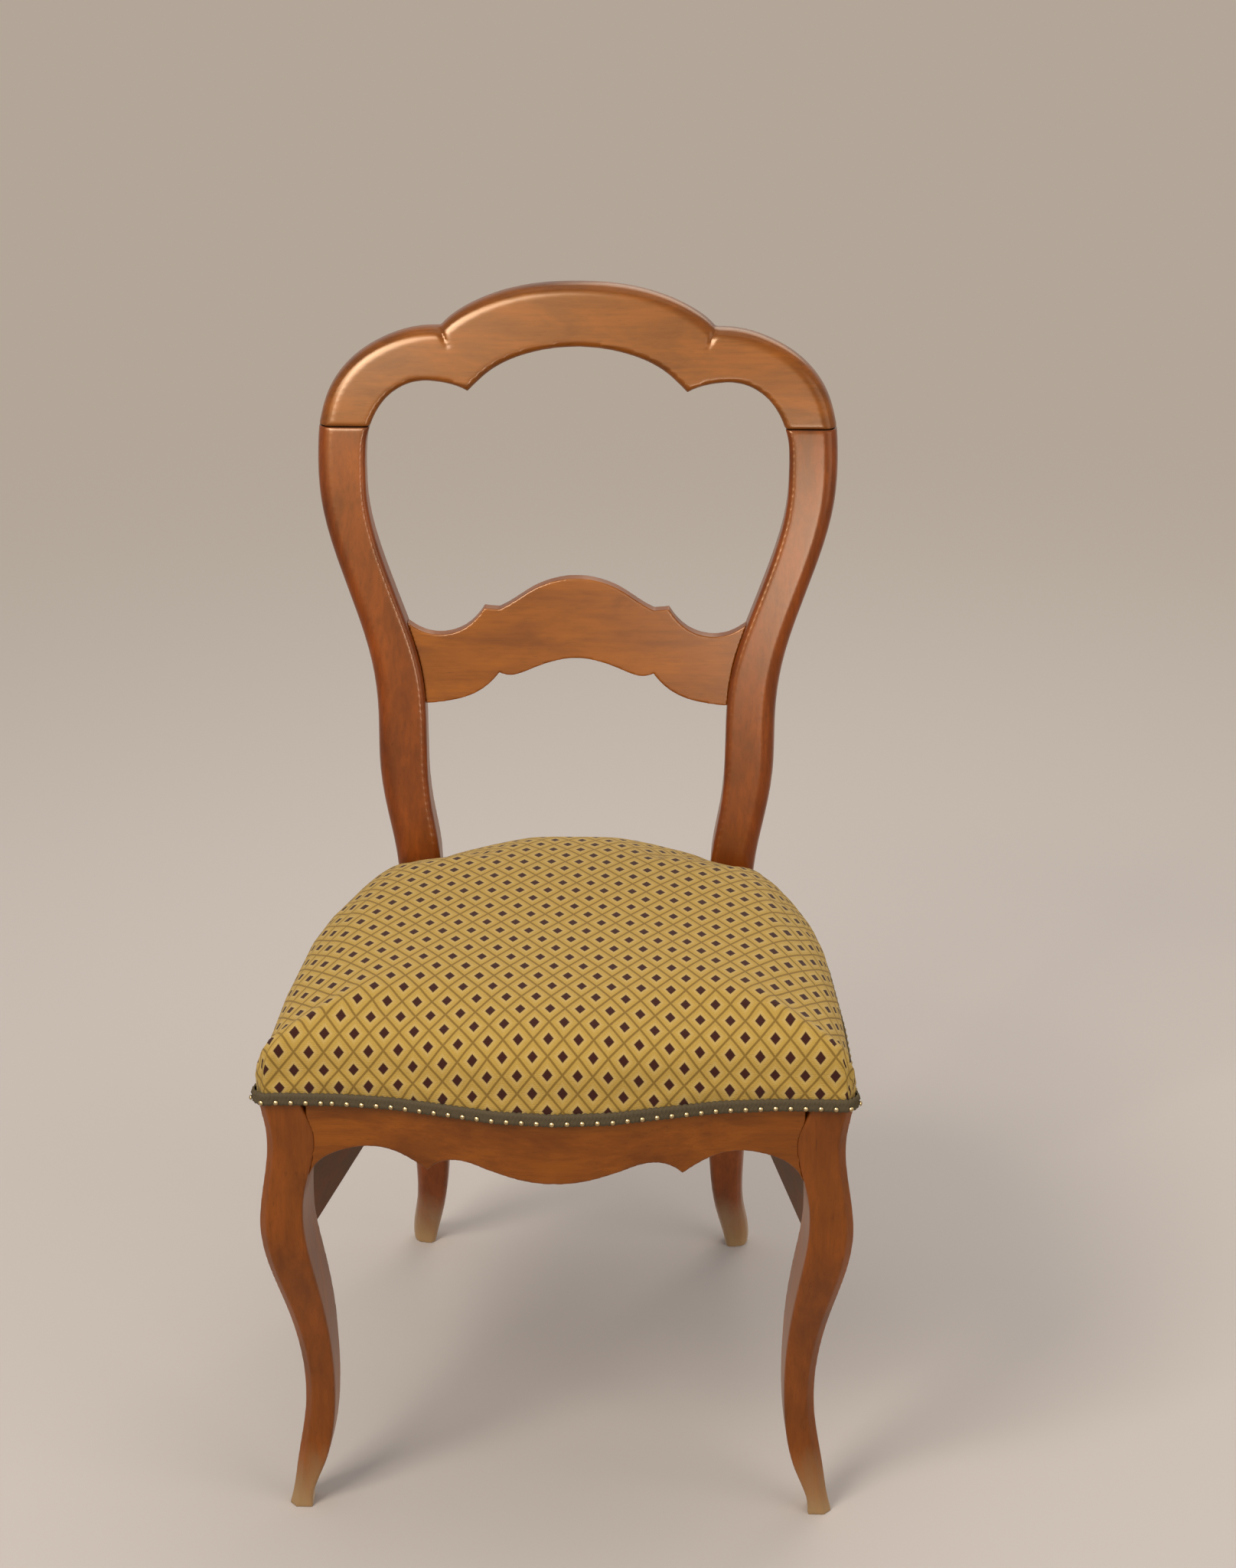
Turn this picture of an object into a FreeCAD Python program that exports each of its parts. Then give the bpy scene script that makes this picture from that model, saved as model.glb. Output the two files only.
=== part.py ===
"""Balloon back chair with a stuffed, nailed seat. Millimetres, +Z up, front of the chair towards -Y."""
import FreeCAD, Part
import math
import os

os.makedirs("parts", exist_ok=True)
V = FreeCAD.Vector

# Overall sizes
FIT = 0.15                  # clearance round every tenon, dowel and screw
SOFT_GAP = 0.6              # clearance between the soft seat and the back posts
LEG_GAP = 0.1               # clearance between the cover and the front legs
RAIL_TOP = 398.0            # top of the seat frame
FRONT_Y = -231.0            # front face of the front legs
FRONT_BOW = 30.6            # how far the middle of the front rail bows forward
JOINT_STEP = 0.6            # how far the front rail lies behind the faces of the legs
BOW_HALF = 170.0            # half width of the bowed stretch
LEG_OUT = 227.5             # outer face of the front legs at the seat frame
LEG_IN = 190.0              # inner face of the front legs at the seat frame
LEG_DEEP = 44.0             # depth of the front legs at the seat frame
POST_IN = 117.3             # inner face of the back posts at the seat frame
POST_OUT = 155.0            # outer face of the back posts at the seat frame

# Back
CREST_TOP = 892.0           # highest point of the crest
CREST_JOINT = 775.0         # height of the glue joint between crest and posts
BACK_THICK = 25.0           # thickness of crest and post tops, front to back
BACK_BASE_Y = 173.4         # front face of the back at the lean's base height
BACK_BASE_Z = 440.0
BACK_LEAN = 0.22            # lean of the back per millimetre of height
BACK_CURVE = 0.00009        # extra lean, growing with the square of the height
EDGE_ROUND = 11.0           # large rounding along the outer front edge
ARRIS = 3.0                 # small rounding along the other edges
EASE_CHORDS = [1, 3, 1, 1]  # chords of the rounding at each corner of the back's section

# Splat
SPLAT_THICK = 11.0
SPLAT_SET_BACK = 8.0        # how far the splat lies behind the front face of the posts
SPLAT_TENON_THICK = 7.0
SPLAT_TENON_TALL = 36.0
SPLAT_TENON_LONG = 11.0
SPLAT_TENON_ROOT = 14.0     # how far the tenon's root lies inside the splat

# Seat frame
FRONT_RAIL_THICK = 26.0
FRONT_RAIL_LOW = 326.0      # lowest point of the scalloped lower edge
SIDE_RAIL_LOW = 249.0
SIDE_OUT_FRONT = 227.0      # outer face of the side rails at the front legs
SIDE_END_Y = 166.0          # where the side rails meet the back posts
SIDE_NARROWING = 20.0       # even narrowing of each side towards the back
SIDE_ROUND = 52.0           # extra drawing-in of each side, mostly near the posts
SIDE_IN_FRONT = 194.0       # inner face of the side rails at the front legs
SIDE_TAPER = math.tan(math.radians(11.4))
REAR_RAIL_LOW = 322.0
REAR_RAIL_THICK = 20.0
TENON_THICK = 10.0
TENON_SHOULDER = 10.0       # shoulder above and below a rail tenon
TENON_LONG = 13.0
TENON_ROOT = 10.0           # how far a tenon's root lies inside its rail

# Joinery hardware
DOWEL_RADIUS = 4.0
DOWEL_LONG = 40.0
SCREW_RADIUS = 2.0
SCREW_HEAD_RADIUS = 4.0
SCREW_HEAD_TALL = 2.5
SCREW_LONG = 40.0
BLOCK_TALL = 48.0
BLOCK_DROP = 12.0           # top of the corner blocks below the rail top

# Seat
WEB_WIDE = 50.0
WEB_THICK = 1.6
WEB_GAP = 0.1               # clearance where straps cross
WEB_COUNT = 3               # straps each way
WEB_HOLD = 12.0             # how far a strap lies on its rail
HESSIAN_THICK = 0.8
COVER_THICK = 2.4
COVER_LOW = 379.0           # lower edge of the cover
CROWN = 453.0               # highest point of the seat
COVER_BULGE = 2.5
BRAID_TALL = 9.0
BRAID_THICK = 2.0
NAIL_RADIUS = 2.1
NAIL_TALL = 1.5
NAIL_PITCH = 11.6
NAIL_UP = 2.3               # nail centre above the lower edge of the braid


def blend(first, second, part):
    """Value part of the way from the first to the second."""
    return first + (second - first) * part


def back_y(z):
    """Front face of the leaning back at a height."""
    up = z - BACK_BASE_Z
    return BACK_BASE_Y + BACK_LEAN * up + BACK_CURVE * up * up


def front_y(x):
    """Front face of the front rail: a shallow bow between straight ends."""
    if abs(x) >= BOW_HALF:
        return FRONT_Y + JOINT_STEP
    return FRONT_Y + JOINT_STEP - 0.5 * FRONT_BOW * (1.0 + math.cos(math.pi * x / BOW_HALF))


def eased_ring(corners, radii, chords):
    """Closed wire through corner points, each corner eased to its radius by a number of chords."""
    points = []
    for i, here in enumerate(corners):
        back = (corners[i - 1] - here).normalize()
        ahead = (corners[(i + 1) % len(corners)] - here).normalize()
        half = 0.5 * back.getAngle(ahead)
        centre = here + (back + ahead).normalize() * (radii[i] / math.sin(half))
        start = here + back * (radii[i] / math.tan(half)) - centre
        end = here + ahead * (radii[i] / math.tan(half)) - centre
        turn = start.getAngle(end)
        for k in range(chords[i] + 1):
            part = k / chords[i]
            points.append(centre + start * (math.sin((1 - part) * turn) / math.sin(turn))
                          + end * (math.sin(part * turn) / math.sin(turn)))
    return Part.makePolygon(points + [points[0]])


def smooth_loft(rings):
    """Smooth solid through closed rings."""
    return Part.makeLoft(rings, True, False, False, 3)


def curve_through(points):
    """Smooth open curve through points."""
    spline = Part.BSplineCurve()
    spline.interpolate(points)
    return spline.toShape()


def prism(edges, direction):
    """Solid made by pushing the closed outline along a direction."""
    return Part.Face(Part.Wire(edges)).extrude(direction)


def plank(points, direction):
    """Solid with a straight-sided outline."""
    return Part.Face(Part.makePolygon(points + [points[0]])).extrude(direction)


def box_between(low, high):
    """Box from its lowest to its highest corner."""
    size = high - low
    return Part.makeBox(size.x, size.y, size.z, low)


def grown(low, high, gap):
    """Box a clearance larger on every side."""
    margin = V(gap, gap, gap)
    return box_between(low - margin, high + margin)


def mirrored(shape):
    """The same shape on the other side of the chair."""
    return shape.mirror(V(0, 0, 0), V(1, 0, 0))


def biggest(shape):
    """The main solid of a cut, without crumbs."""
    return max(shape.Solids, key=lambda solid: solid.Volume)


# Front legs

# Height, inner x at the front, inner x at the rear, outer x, bulge forward, depth
LEG_STATIONS = (
    (RAIL_TOP, LEG_IN + 0.5, LEG_IN, LEG_OUT, 0.0, LEG_DEEP),
    (360.0, LEG_IN, LEG_IN, LEG_OUT, 0.0, LEG_DEEP),
    (330.0, LEG_IN - 1.5, LEG_IN + 0.5, LEG_OUT - 1.5, 0.0, LEG_DEEP),
    (310.0, 194.0, 192.5, LEG_OUT + 1.0, 2.0, 45.0),
    (290.0, 197.6, 193.5, LEG_OUT + 4.0, 4.5, 46.0),
    (265.0, 197.2, 193.0, LEG_OUT + 5.3, 5.5, 46.5),
    (230.0, 192.2, 187.5, LEG_OUT, 1.0, 43.0),
    (190.0, 186.2, 181.8, LEG_OUT - 10.3, -8.5, 37.5),
    (150.0, 182.2, 179.0, LEG_OUT - 18.5, -16.5, 31.0),
    (110.0, 181.0, 178.6, LEG_OUT - 21.8, -21.5, 26.5),
    (70.0, 183.6, 182.0, LEG_OUT - 18.6, -21.5, 24.5),
    (30.0, 194.6, 194.0, LEG_OUT - 12.0, -18.0, 22.0),
    (0.0, 201.5, 201.5, LEG_OUT - 6.0, -15.0, 20.5),
)


def leg_section(station, gap):
    """Eased square section of the front leg at one height, grown by a gap."""
    z, inner_front, inner_rear, outer, bulge, depth = station
    near = FRONT_Y - bulge - gap
    far = FRONT_Y - bulge + depth + gap
    outer_rear = outer - 0.07 * depth
    corners = [V(inner_front - gap, near, z), V(outer + gap, near, z),
               V(outer_rear + gap, far, z), V(inner_rear - gap, far, z)]
    return eased_ring(corners, [1.5, 2 * ARRIS, ARRIS, 1.5], [1, 1, 1, 1])


def front_leg(gap):
    """Cabriole front leg on the right, before its mortises, grown by a gap."""
    return smooth_loft([leg_section(station, gap) for station in reversed(LEG_STATIONS)])


# Back posts

# Height, inner x, outer x, depth; the front face follows the lean of the back
STILE_STATIONS = (
    (CREST_JOINT, 178.0, 222.5, BACK_THICK),
    (750.0, 182.0, 223.7, BACK_THICK),
    (720.0, 181.2, 222.2, BACK_THICK),
    (685.0, 174.4, 214.8, BACK_THICK + 0.5),
    (648.0, 161.5, 202.0, BACK_THICK + 1.0),
    (600.0, 142.8, 184.4, BACK_THICK + 2.0),
    (560.0, 132.4, 174.8, BACK_THICK + 3.0),
    (525.0, 129.7, 172.1, BACK_THICK + 4.0),
    (490.0, 129.0, 171.2, BACK_THICK + 5.0),
    (455.0, 125.6, 166.0, BACK_THICK + 6.0),
    (425.0, 119.8, 159.2, BACK_THICK + 7.0),
    (RAIL_TOP, POST_IN, POST_OUT, BACK_THICK + 7.0),
)
# Height, inner x, outer x, front y, depth of the rear leg below the seat
REAR_LEG_STATIONS = (
    (320.0, 117.0, 152.5, 161.0, 32.0),
    (250.0, 117.0, 151.0, 163.5, 31.0),
    (170.0, 117.5, 150.0, 176.0, 29.0),
    (90.0, 119.5, 149.8, 196.5, 26.0),
    (40.0, 126.0, 151.8, 208.5, 23.0),
    (0.0, 135.0, 155.0, 218.0, 20.0),
)


def post_section(z, inner, outer, near, depth, gap):
    """Section of the back post: well rounded outside, crisp inside."""
    corners = [V(inner - gap, near - gap, z), V(outer + gap, near - gap, z),
               V(outer + gap, near + depth + gap, z), V(inner - gap, near + depth + gap, z)]
    return eased_ring(corners, [ARRIS, EDGE_ROUND, 2 * ARRIS, ARRIS], EASE_CHORDS)


def back_post(gap):
    """Rear leg and stile in one piece on the right, before its mortises, grown by a gap."""
    rows = [(z, inner, outer, back_y(z), depth) for z, inner, outer, depth in STILE_STATIONS]
    rows += list(REAR_LEG_STATIONS)
    return smooth_loft([post_section(*row, gap) for row in reversed(rows)])


# Crest rail

# Outer x and z, inner x and z of each section, from the joint up to the crease between the lobes
SIDE_LOBE = (
    (222.5, CREST_JOINT, 178.0, CREST_JOINT),
    (218.0, 793.0, 171.6, 788.5),
    (208.0, 813.5, 161.5, 800.5),
    (191.0, 831.5, 150.0, 807.8),
    (167.0, 845.8, 136.0, 811.8),
    (143.0, 853.6, 116.5, 811.0),
    (118.0, 855.6, 94.1, 803.8),
)
# The same for the middle lobe, from the crease to the centre line
MIDDLE_LOBE = (
    (118.0, 855.6, 94.1, 803.8),
    (108.4, 864.3, 85.6, 812.0),
    (84.0, 877.5, 66.0, 826.0),
    (45.0, 888.6, 35.5, 836.6),
    (0.0, CREST_TOP, 0.0, 840.5),
)


def crest_section(outer_x, outer_z, inner_x, inner_z):
    """Section across the arch: deep rounding along the outer front edge."""
    inner_y = back_y(inner_z)
    outer_y = back_y(outer_z)
    thick = V(0, BACK_THICK, 0)
    inner = V(inner_x, inner_y, inner_z)
    outer = V(outer_x, outer_y, outer_z)
    corners = [inner, outer, outer + thick, inner + thick]
    return eased_ring(corners, [ARRIS, EDGE_ROUND, 2 * ARRIS, ARRIS], EASE_CHORDS)


def crease_cut():
    """V-shaped carved crease on the right, running from the outer notch into the front face."""
    top = V(SIDE_LOBE[-1][0], back_y(SIDE_LOBE[-1][1]), SIDE_LOBE[-1][1])
    low = V(SIDE_LOBE[-1][2], back_y(SIDE_LOBE[-1][3]), SIDE_LOBE[-1][3])
    along = (low - top).normalize()
    across = V(along.z, 0, -along.x).normalize()
    deep = 5.0
    wide = 3.4
    start = top - along * 3.0
    end = top + along * 20.0
    mouth = [start + across * wide - V(0, 2, 0), start - across * wide - V(0, 2, 0), start + V(0, deep + 3, 0)]
    tip = [end + across * 0.4 - V(0, 2, 0), end - across * 0.4 - V(0, 2, 0), end + V(0, 0.3, 0)]
    return Part.makeLoft([Part.makePolygon(mouth + [mouth[0]]), Part.makePolygon(tip + [tip[0]])], True, True)


def crest_rail():
    """Arched crest of three lobes."""
    side = smooth_loft([crest_section(*row) for row in SIDE_LOBE])
    across = [crest_section(*row) for row in MIDDLE_LOBE]
    other = [crest_section(-row[0], row[1], -row[2], row[3]) for row in reversed(MIDDLE_LOBE[:-1])]
    middle = smooth_loft(across + other)
    crest = middle.fuse([side, mirrored(side)])
    crest = crest.cut([crease_cut(), mirrored(crease_cut())])
    return biggest(crest)


# Splat

SPLAT_MID_TOP = 648.4
SPLAT_MID_LOW = 581.5
SPLAT_NUB_X = 80.0
SPLAT_NUB_Z = 623.0
SPLAT_CUSP_X = 66.8
SPLAT_CUSP_Z = 569.0
SPLAT_END_X = 175.0
SPLAT_LOW = 541.0
SPLAT_POST_X = 137.0        # where the splat's tenons enter the posts


def splat_outline():
    """Outline of the splat's right half seen from the front, as lists of x, z for each curve."""
    return [
        [(0, SPLAT_MID_TOP), (20, SPLAT_MID_TOP - 2.6), (37, SPLAT_MID_TOP - 9), (53, SPLAT_MID_TOP - 18.8),
         (67, SPLAT_NUB_Z - 1)],
        [(67, SPLAT_NUB_Z - 1), (SPLAT_NUB_X, SPLAT_NUB_Z)],
        [(SPLAT_NUB_X, SPLAT_NUB_Z), (86, SPLAT_NUB_Z - 8), (97, SPLAT_NUB_Z - 17), (114, SPLAT_NUB_Z - 22.4),
         (132, SPLAT_NUB_Z - 20.5), (150, SPLAT_NUB_Z - 10), (SPLAT_END_X, SPLAT_NUB_Z + 6)],
        [(SPLAT_END_X, SPLAT_NUB_Z + 6), (SPLAT_END_X, SPLAT_LOW)],
        [(SPLAT_END_X, SPLAT_LOW), (131, 542.5), (104, 546), (87, 551.8), (75, 560), (SPLAT_CUSP_X, SPLAT_CUSP_Z)],
        [(SPLAT_CUSP_X, SPLAT_CUSP_Z), (55, SPLAT_CUSP_Z - 2), (38, SPLAT_CUSP_Z + 3.6),
         (19, SPLAT_CUSP_Z + 10), (0, SPLAT_MID_LOW)],
    ]


def splat_y(z):
    """Front face of the flat splat, which leans with the back."""
    low = SPLAT_MID_LOW
    high = SPLAT_NUB_Z
    slope = (back_y(high) - back_y(low)) / (high - low)
    return back_y(low) + SPLAT_SET_BACK + slope * (z - low)


def splat_blank():
    """Flat splat board, running on into the posts."""
    half = splat_outline()
    other = [[(-x, z) for x, z in reversed(curve)] for curve in reversed(half)]
    edges = []
    for curve in half + other:
        points = [V(x, splat_y(z), z) for x, z in curve]
        if len(points) == 2:
            edges.append(Part.LineSegment(points[0], points[1]).toShape())
        else:
            edges.append(curve_through(points))
    return prism(edges, V(0, SPLAT_THICK, 0))


def splat_tenon(gap):
    """Tenon at the right end of the splat, leaning with it, grown by a gap for its mortise."""
    middle = 0.5 * (SPLAT_NUB_Z - 20 + SPLAT_LOW)
    root = SPLAT_POST_X - SPLAT_TENON_ROOT - gap
    long = SPLAT_TENON_ROOT + SPLAT_TENON_LONG + 2 * gap
    cheek = 0.5 * (SPLAT_THICK - SPLAT_TENON_THICK) - gap
    thick = SPLAT_TENON_THICK + 2 * gap
    low = middle - 0.5 * SPLAT_TENON_TALL - gap
    high = middle + 0.5 * SPLAT_TENON_TALL + gap
    outline = [V(root, splat_y(low) + cheek, low), V(root, splat_y(low) + cheek + thick, low),
               V(root, splat_y(high) + cheek + thick, high), V(root, splat_y(high) + cheek, high)]
    return plank(outline, V(long, 0, 0))


# Seat frame

def side_face(y, inset):
    """Outer x of the seat side at a depth; the sides curve in towards the back."""
    along = (y - FRONT_Y) / (SIDE_END_Y - FRONT_Y)
    return SIDE_OUT_FRONT - inset - SIDE_NARROWING * along - SIDE_ROUND * along ** 4.6


def side_inner(y):
    """Inner x of the straight inner face of the side rail."""
    return SIDE_IN_FRONT - SIDE_TAPER * (y - FRONT_Y - LEG_DEEP)


def front_rail_blank():
    """Bowed front rail with its scalloped lower edge, running on into the legs."""
    reach = LEG_IN + 3.0
    steps = 8
    xs = [-reach + 2.0 * reach * i / (2 * steps) for i in range(2 * steps + 1)]
    front = curve_through([V(x, front_y(x), 0) for x in xs])
    rear = curve_through([V(x, front_y(x) + FRONT_RAIL_THICK, 0) for x in xs])
    ends = [Part.LineSegment(V(s, front_y(s), 0), V(s, front_y(s) + FRONT_RAIL_THICK, 0)).toShape()
            for s in (reach, -reach)]
    body = prism([front, ends[0], rear, ends[1]], V(0, 0, RAIL_TOP))
    low = FRONT_RAIL_LOW
    half = [
        [(0, low), (28, low + 2.6), (52, low + 8.6), (74, low + 13.2), (86, low + 10.4), (98.5, low + 0.8)],
        [(98.5, low + 0.8), (108, low + 6.5), (124, low + 13.6), (143, low + 16), (162, low + 12.6),
         (178, low + 6), (LEG_IN, low - 6)],
        [(LEG_IN, low - 6), (reach + 5, low - 24)],
    ]
    other = [[(-x, z) for x, z in reversed(curve)] for curve in reversed(half)]
    edges = []
    for curve in other + half:
        points = [V(x, 0, z) for x, z in curve]
        if len(points) == 2:
            edges.append(Part.LineSegment(points[0], points[1]).toShape())
        else:
            edges.append(curve_through(points))
    top_right = V(reach + 5, 0, RAIL_TOP)
    top_left = V(-reach - 5, 0, RAIL_TOP)
    edges.append(Part.LineSegment(V(reach + 5, 0, low - 24), top_right).toShape())
    edges.append(Part.LineSegment(top_right, top_left).toShape())
    edges.append(Part.LineSegment(top_left, V(-reach - 5, 0, low - 24)).toShape())
    face = prism(edges, V(0, 200, 0))
    face.translate(V(0, FRONT_Y - FRONT_BOW - 60, 0))
    return biggest(body.common(face))


def side_rail_blank():
    """Side rail on the right: curved outer face, straight inner face."""
    start = FRONT_Y + 36.0
    end = SIDE_END_Y
    steps = 6
    ys = [start + (end - start) * i / steps for i in range(steps + 1)]
    outer = curve_through([V(side_face(y, 0.4), y, SIDE_RAIL_LOW) for y in ys])
    inner_end = V(side_inner(end), end, SIDE_RAIL_LOW)
    inner_start = V(side_inner(start), start, SIDE_RAIL_LOW)
    edges = [
        outer,
        Part.LineSegment(V(side_face(end, 0.4), end, SIDE_RAIL_LOW), inner_end).toShape(),
        Part.LineSegment(inner_end, inner_start).toShape(),
        Part.LineSegment(inner_start, V(side_face(start, 0.4), start, SIDE_RAIL_LOW)).toShape(),
    ]
    return prism(edges, V(0, 0, RAIL_TOP - SIDE_RAIL_LOW))


REAR_RAIL_Y = back_y(RAIL_TOP) + 5.0


def rear_rail_blank():
    """Straight rear rail, running on into the posts."""
    reach = POST_IN + 8.0
    return box_between(V(-reach, REAR_RAIL_Y, REAR_RAIL_LOW), V(reach, REAR_RAIL_Y + REAR_RAIL_THICK, RAIL_TOP))


def front_tenon(gap):
    """Tenon of the front rail in the right leg."""
    low = V(LEG_IN - TENON_ROOT, FRONT_Y + 8.0, FRONT_RAIL_LOW + TENON_SHOULDER + 2.0)
    high = V(LEG_IN + TENON_LONG, low.y + TENON_THICK, RAIL_TOP - TENON_SHOULDER)
    return grown(low, high, gap)


def side_front_tenon(gap):
    """Front tenon of the side rail in the right leg."""
    rear_face = FRONT_Y + LEG_DEEP
    inner = LEG_OUT - 11.5 - TENON_THICK
    low = V(inner, rear_face - TENON_LONG, SIDE_RAIL_LOW + TENON_SHOULDER)
    high = V(inner + TENON_THICK, rear_face + TENON_ROOT, RAIL_TOP - TENON_SHOULDER)
    return grown(low, high, gap)


def side_rear_tenon(gap):
    """Rear tenon of the side rail in the right post."""
    face = back_y(RAIL_TOP)
    inner = POST_OUT - 8.0 - TENON_THICK
    low = V(inner, face - TENON_ROOT - 4.0, SIDE_RAIL_LOW + TENON_SHOULDER)
    high = V(inner + TENON_THICK, face + TENON_LONG - 2.0, RAIL_TOP - TENON_SHOULDER)
    return grown(low, high, gap)


def rear_tenon(gap):
    """Tenon of the rear rail in the right post."""
    low = V(POST_IN - TENON_ROOT - 2.0, REAR_RAIL_Y + 7.0, REAR_RAIL_LOW + TENON_SHOULDER)
    high = V(POST_IN + TENON_LONG, low.y + TENON_THICK, RAIL_TOP - TENON_SHOULDER)
    return grown(low, high, gap)


def dowel_places():
    """Foot of each crest dowel on the right."""
    middle = back_y(CREST_JOINT) + 0.5 * BACK_THICK
    return [V(x, middle, CREST_JOINT - 0.5 * DOWEL_LONG) for x in (192.0, 209.0)]


# Corner blocks, each held by one screw

BLOCK_HIGH = RAIL_TOP - BLOCK_DROP
BLOCKS = {
    "front": (V(196, FRONT_Y + 16, 0), V(138, FRONT_Y + 16, 0), V(196, FRONT_Y + 92, 0)),
    "rear": (V(140, REAR_RAIL_Y + 6, 0), V(70, REAR_RAIL_Y + 6, 0), V(146, REAR_RAIL_Y - 62, 0)),
}


def block_blank(place):
    """Three-sided corner block before it is fitted to the frame."""
    lift = V(0, 0, BLOCK_HIGH - BLOCK_TALL)
    return plank([corner + lift for corner in BLOCKS[place]], V(0, 0, BLOCK_TALL))


def screw_axis(place):
    """Middle of a block's open face and the direction into the corner."""
    corner, one, two = BLOCKS[place]
    along = (two - one).normalize()
    inward = V(-along.y, along.x, 0)
    if inward.dot(corner - one) < 0:
        inward = inward * -1.0
    return (one + two) * 0.5 + V(0, 0, BLOCK_HIGH - 0.5 * BLOCK_TALL), inward


def screw(place, gap):
    """Countersunk corner-block screw, grown by a gap for its hole."""
    start, inward = screw_axis(place)
    shank = Part.makeCylinder(SCREW_RADIUS + gap, SCREW_LONG + gap, start, inward)
    head = Part.makeCone(SCREW_HEAD_RADIUS + gap, SCREW_RADIUS + gap, SCREW_HEAD_TALL + gap, start, inward)
    return shank.fuse(head).removeSplitter()


# Seat

SEAT_FRONT_Y = FRONT_Y - FRONT_BOW
SEAT_REAR_Y = 193.0
SEAT_HALF = 230.0           # half width of the cover at its lower edge
# Chords along the bow, the right corner and side, the rear, and the left side and corner
SEAT_CHORDS = (2, 4, 2, 1, 3, 2, 2, 2, 1, 3, 1, 2, 2, 2, 3, 1)
SEAT_LEAD = 3.6             # how far the cover stands in front of the wood
# Height, draw-in at the sides, front and rear, and how far the rear corners are rounded off
SEAT_STEPS = (
    (COVER_LOW, 0.0, 0.0, 0.0, 0.0),
    (COVER_LOW + BRAID_TALL, 0.0, 0.0, 0.0, 0.0),
    (403.0, -COVER_BULGE, -COVER_BULGE, -COVER_BULGE, 0.0),
    (413.0, -2.0, -2.2, -1.4, 0.5),
    (422.0, 1.0, -0.4, 2.6, 0.9),
    (431.0, 8.0, 5.0, 14.0, 1.0),
    (440.0, 26.0, 20.0, 40.0, 1.0),
    (445.0, 47.0, 41.0, 66.0, 1.0),
    (449.0, 78.0, 72.0, 96.0, 1.0),
    (451.6, 116.0, 110.0, 136.0, 1.0),
    (CROWN, 170.0, 168.0, 186.0, 1.0),
)


def seat_side(y, rounding):
    """Half width of the seat at a depth, more drawn in where the rear corners are rounded off."""
    plain = side_face(y, -SEAT_LEAD)
    along = (y - FRONT_Y) / (SIDE_END_Y - FRONT_Y - 46.0)
    horseshoe = SIDE_OUT_FRONT - 1.0 - 18.0 * along - 56.0 * abs(along) ** 4.5
    return blend(plain, horseshoe, rounding)


def arc_through(points):
    """Row of arcs through points, each arc taking three of them."""
    return [Part.Arc(*points[i:i + 3]).toShape() for i in range(0, len(points) - 2, 2)]


def seat_ring(z, inset, inset_front, inset_rear, rounding):
    """Outline of the seat at a height: bowed front, curved sides and rounded rear."""
    wide = (SEAT_HALF - inset) / SEAT_HALF
    front_edge = SEAT_FRONT_Y - SEAT_LEAD
    long = (SEAT_REAR_Y - inset_rear - front_edge - inset_front) / (SEAT_REAR_Y - front_edge)

    def place(x, y):
        return V(x * wide, front_edge + inset_front + (y - front_edge) * long, z)

    bow = [place(0.25 * i * BOW_HALF, front_y(0.25 * i * BOW_HALF) - SEAT_LEAD) for i in (-4, -3, -2, 0, 2, 3, 4)]
    front_right = place(LEG_OUT - 16.0, FRONT_Y + JOINT_STEP - SEAT_LEAD)
    corner_right = place(LEG_OUT + 1.4, FRONT_Y - 0.9)
    side_end = blend(160.0, 118.0, rounding)
    side_ys = [blend(FRONT_Y + 17.0, side_end, part) for part in (0.0, 0.3, 0.58, 0.73, 0.86, 0.94, 1.0)]
    right = [place(seat_side(y, rounding), y) for y in side_ys]
    left = [V(-p.x, p.y, z) for p in reversed(right)]
    rear_right = place(blend(119.0, 112.0, rounding), blend(SEAT_REAR_Y - 0.4, 150.0, rounding))
    rear_left = V(-rear_right.x, rear_right.y, z)
    rear_middle = place(0, blend(SEAT_REAR_Y, SEAT_REAR_Y - 7.0, rounding))
    front_left = V(-front_right.x, front_right.y, z)
    corner_left = V(-corner_right.x, corner_right.y, z)
    edges = arc_through(bow)
    edges.append(Part.LineSegment(bow[-1], front_right).toShape())
    edges += arc_through([front_right, corner_right, right[0]])
    edges += arc_through(right)
    edges.append(Part.LineSegment(right[-1], rear_right).toShape())
    edges += arc_through([rear_right, rear_middle, rear_left])
    edges.append(Part.LineSegment(rear_left, left[0]).toShape())
    edges += arc_through(left)
    edges += arc_through([left[-1], corner_left, front_left])
    edges.append(Part.LineSegment(front_left, bow[0]).toShape())
    points = []
    for edge, chords in zip(edges, SEAT_CHORDS):
        points += edge.discretize(chords + 1)[:-1]
    return Part.makePolygon(points + [points[0]])


def level_ring(z, inset):
    """Outline of the seat's lower edge, drawn in evenly."""
    return seat_ring(z, inset, inset, inset, 0.0)


def seat_form(thinner):
    """Crowned seat form, made thinner all over by an amount."""
    rings = []
    for z, inset, inset_front, inset_rear, rounding in SEAT_STEPS:
        drop = thinner if z > RAIL_TOP else 0.0
        rings.append(seat_ring(z - drop, inset + thinner, inset_front + thinner, inset_rear + thinner, rounding))
    return Part.makeLoft(rings, True, True)


def braid_band():
    """Braid round the lower edge of the cover."""
    low = COVER_LOW
    high = low + BRAID_TALL
    outer = Part.makeLoft([level_ring(low, -BRAID_THICK), level_ring(high, -BRAID_THICK)], True, True)
    inner = Part.makeLoft([level_ring(low - 1, -0.15), level_ring(high + 1, -0.15)], True, True)
    return outer.cut(inner)


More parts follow.
